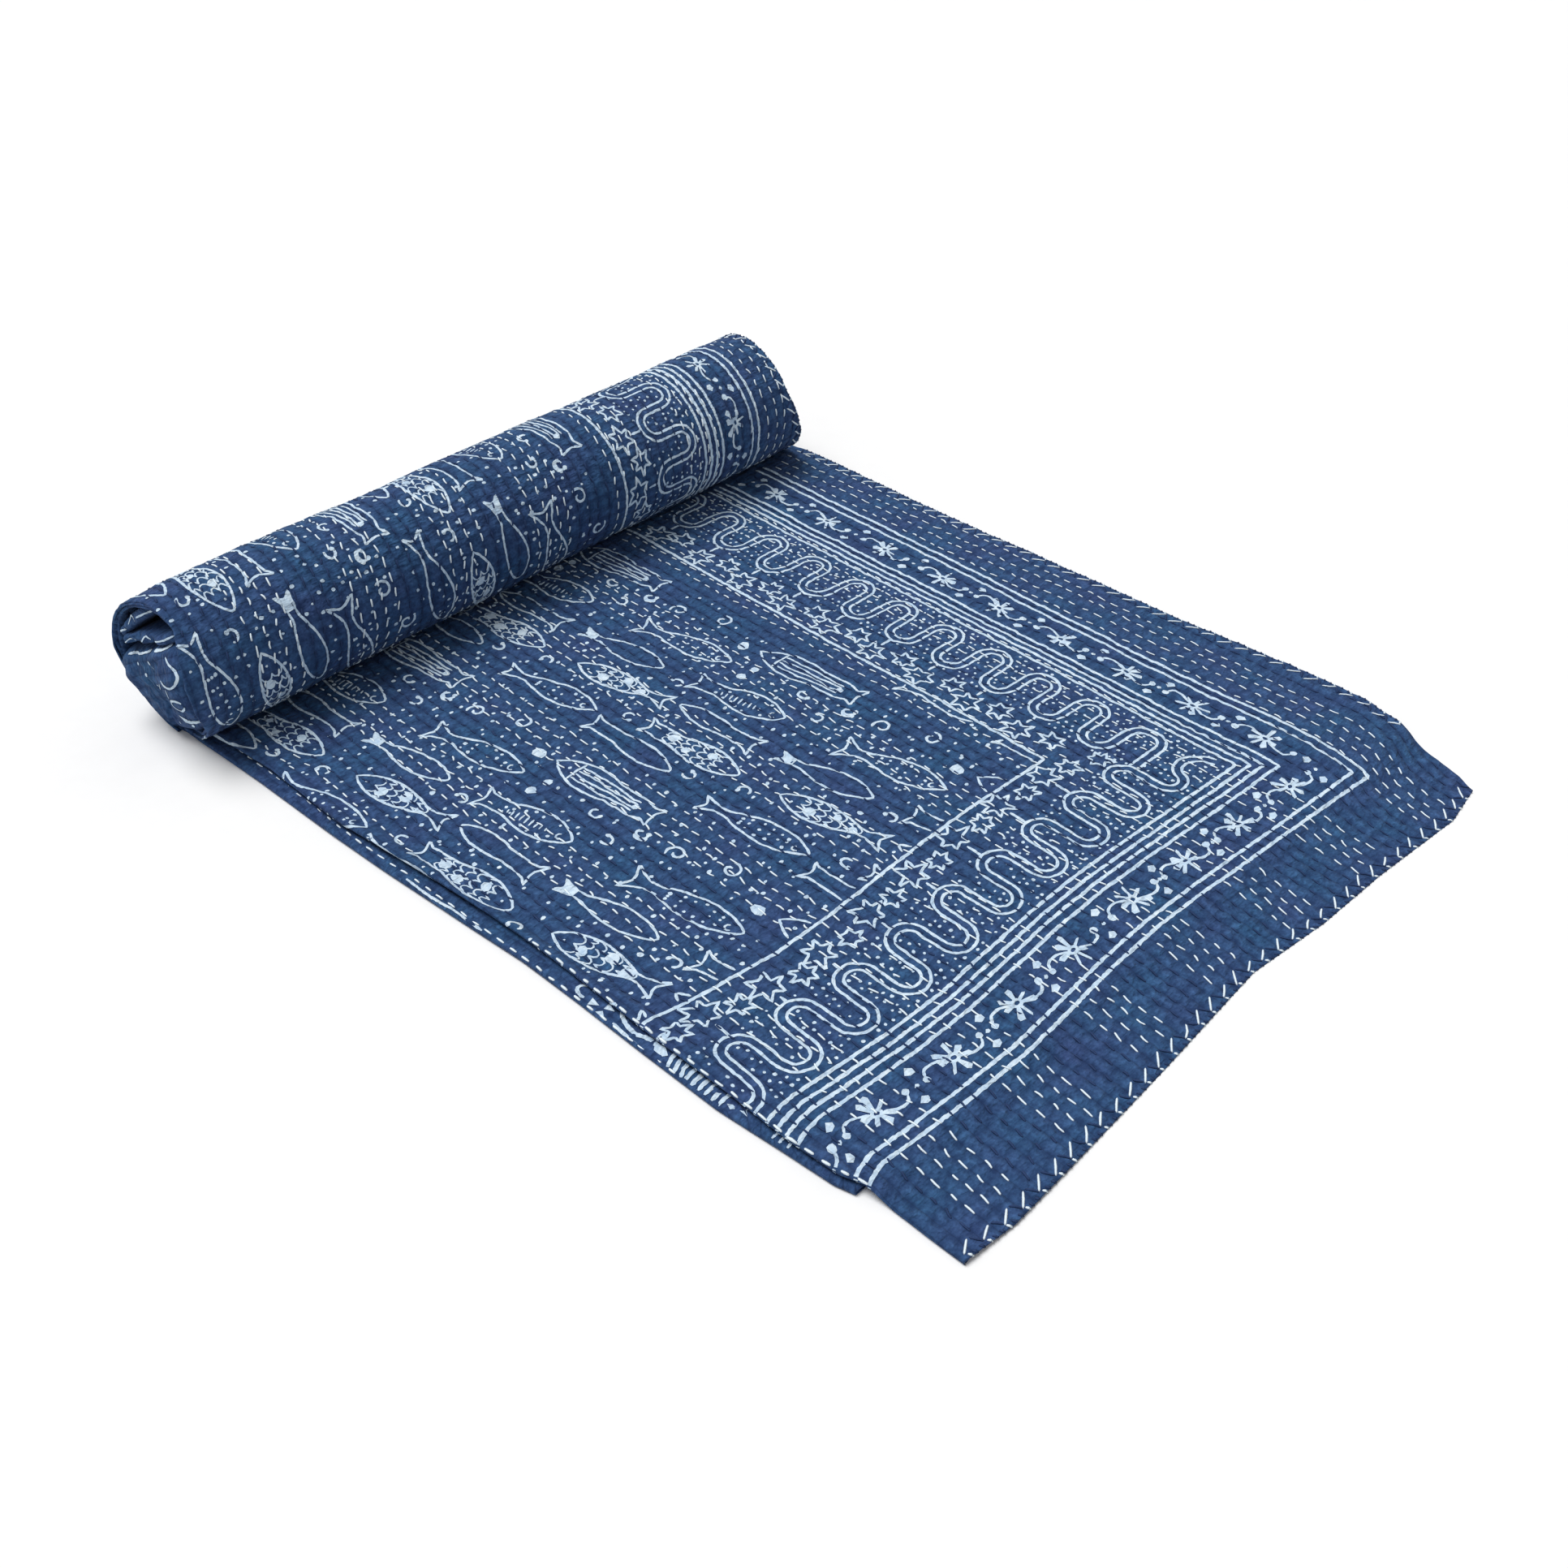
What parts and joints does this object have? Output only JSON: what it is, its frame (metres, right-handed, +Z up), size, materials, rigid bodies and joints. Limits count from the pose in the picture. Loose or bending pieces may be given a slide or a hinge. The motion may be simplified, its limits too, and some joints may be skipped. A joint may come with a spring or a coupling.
{
  "type": "kantha quilt",
  "caption": "Hand-stitched cotton bed quilt, folded lengthwise into layers and half rolled up, with the unrolled part lying flat in front of the roll.",
  "frame": {"origin": "middle of the ground that the quilt covers, level with its underside", "axes": "+X to the right along the roll, +Y from the near end towards the roll, +Z up"},
  "size_m": [0.6438, 0.7472, 0.1112],
  "materials": {
    "printed_cotton": "matt indigo-dyed cotton, block-printed and quilted with running stitches"
  },
  "bodies": {
    "root": {"quilt": "printed_cotton"}
  },
  "joints": []
}
